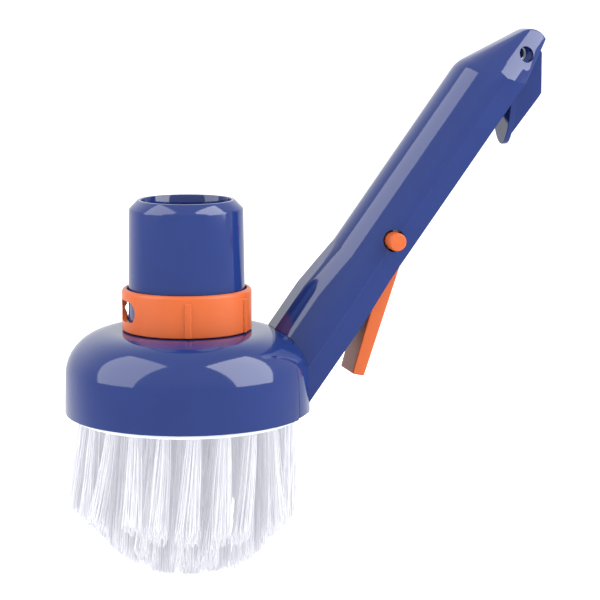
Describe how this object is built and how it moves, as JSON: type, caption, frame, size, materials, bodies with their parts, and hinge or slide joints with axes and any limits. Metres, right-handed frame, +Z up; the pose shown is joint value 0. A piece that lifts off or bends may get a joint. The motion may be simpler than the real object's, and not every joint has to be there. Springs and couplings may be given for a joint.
{
  "type": "pool wall brush",
  "caption": "Round pool suction brush: domed head with bristle tufts, upright hose port with a turning air ring, and a slanted channel handle with a squeeze lever and side lock buttons.",
  "frame": {"origin": "middle of the box's base: the lowest bristle tips touch z = 0", "axes": "+Z up along the head and hose port; +X from the head towards the end of the handle; +Y across, the handle's middle plane is y = 0"},
  "size_m": [0.1664, 0.0824, 0.1823],
  "materials": {
    "blue_plastic": "glossy moulded plastic, mid blue",
    "orange_plastic": "glossy moulded plastic, orange",
    "white_plastic": "satin moulded plastic, white",
    "bristle": "white nylon bristle",
    "steel": "stainless steel"
  },
  "bodies": {
    "head_and_handle": {"dome_housing": "blue_plastic", "hose_port": "blue_plastic", "handle": "blue_plastic", "bristle_plate": "white_plastic", "lever_pin": "steel", "button_spring": "steel", "plate_screw_1": "steel", "plate_screw_2": "steel", "plate_screw_3": "steel", "plate_screw_4": "steel", "handle_screw_1": "steel", "handle_screw_2": "steel", "tuft_outer_1": "bristle", "tuft_outer_2": "bristle", "tuft_outer_3": "bristle", "tuft_outer_4": "bristle", "tuft_outer_5": "bristle", "tuft_outer_6": "bristle", "tuft_outer_7": "bristle", "tuft_outer_8": "bristle", "tuft_outer_9": "bristle", "tuft_outer_10": "bristle", "tuft_outer_11": "bristle", "tuft_outer_12": "bristle", "tuft_outer_13": "bristle", "tuft_outer_14": "bristle", "tuft_outer_15": "bristle", "tuft_outer_16": "bristle", "tuft_outer_17": "bristle", "tuft_outer_18": "bristle", "tuft_outer_19": "bristle", "tuft_outer_20": "bristle", "tuft_outer_21": "bristle", "tuft_outer_22": "bristle", "tuft_middle_1": "bristle", "tuft_middle_2": "bristle", "tuft_middle_3": "bristle", "tuft_middle_4": "bristle", "tuft_middle_5": "bristle", "tuft_middle_6": "bristle", "tuft_middle_7": "bristle", "tuft_middle_8": "bristle", "tuft_middle_9": "bristle", "tuft_middle_10": "bristle", "tuft_middle_11": "bristle", "tuft_middle_12": "bristle", "tuft_middle_13": "bristle", "tuft_middle_14": "bristle", "tuft_inner_1": "bristle", "tuft_inner_2": "bristle", "tuft_inner_3": "bristle", "tuft_inner_4": "bristle", "tuft_inner_5": "bristle", "tuft_inner_6": "bristle", "tuft_inner_7": "bristle", "tuft_inner_8": "bristle"},
    "air_ring": {"suction_ring": "orange_plastic"},
    "lever": {"release_lever": "orange_plastic"},
    "near_button": {"lock_button_near": "orange_plastic"},
    "far_button": {"lock_button_far": "orange_plastic"}
  },
  "joints": [
    {"name": "ring_turn", "type": "hinge", "parent": "head_and_handle", "child": "air_ring", "pos_m": [-0.04201, 0, 0.0905], "axis": [0, 0, 1], "range_deg": [0, 45]},
    {"name": "lever_pull", "type": "hinge", "parent": "head_and_handle", "child": "lever", "pos_m": [0.03449, 0, 0.11911], "axis": [0, 1, 0], "range_deg": [0, 13], "stiffness_Nm_per_rad": 0.08, "springref_deg": -14.32},
    {"name": "button_near", "type": "slide", "parent": "head_and_handle", "child": "near_button", "axis": [0, 1, 0], "range_m": [0, 0.004], "deforming": ["button_spring"]},
    {"name": "button_far", "type": "slide", "parent": "head_and_handle", "child": "far_button", "axis": [0, -1, 0], "range_m": [0, 0.004]}
  ],
  "couplings": [
    {"joint": "button_near", "follows": "lever_pull", "m_per_rad": 0.0176},
    {"joint": "button_far", "follows": "lever_pull", "m_per_rad": 0.0176}
  ]
}
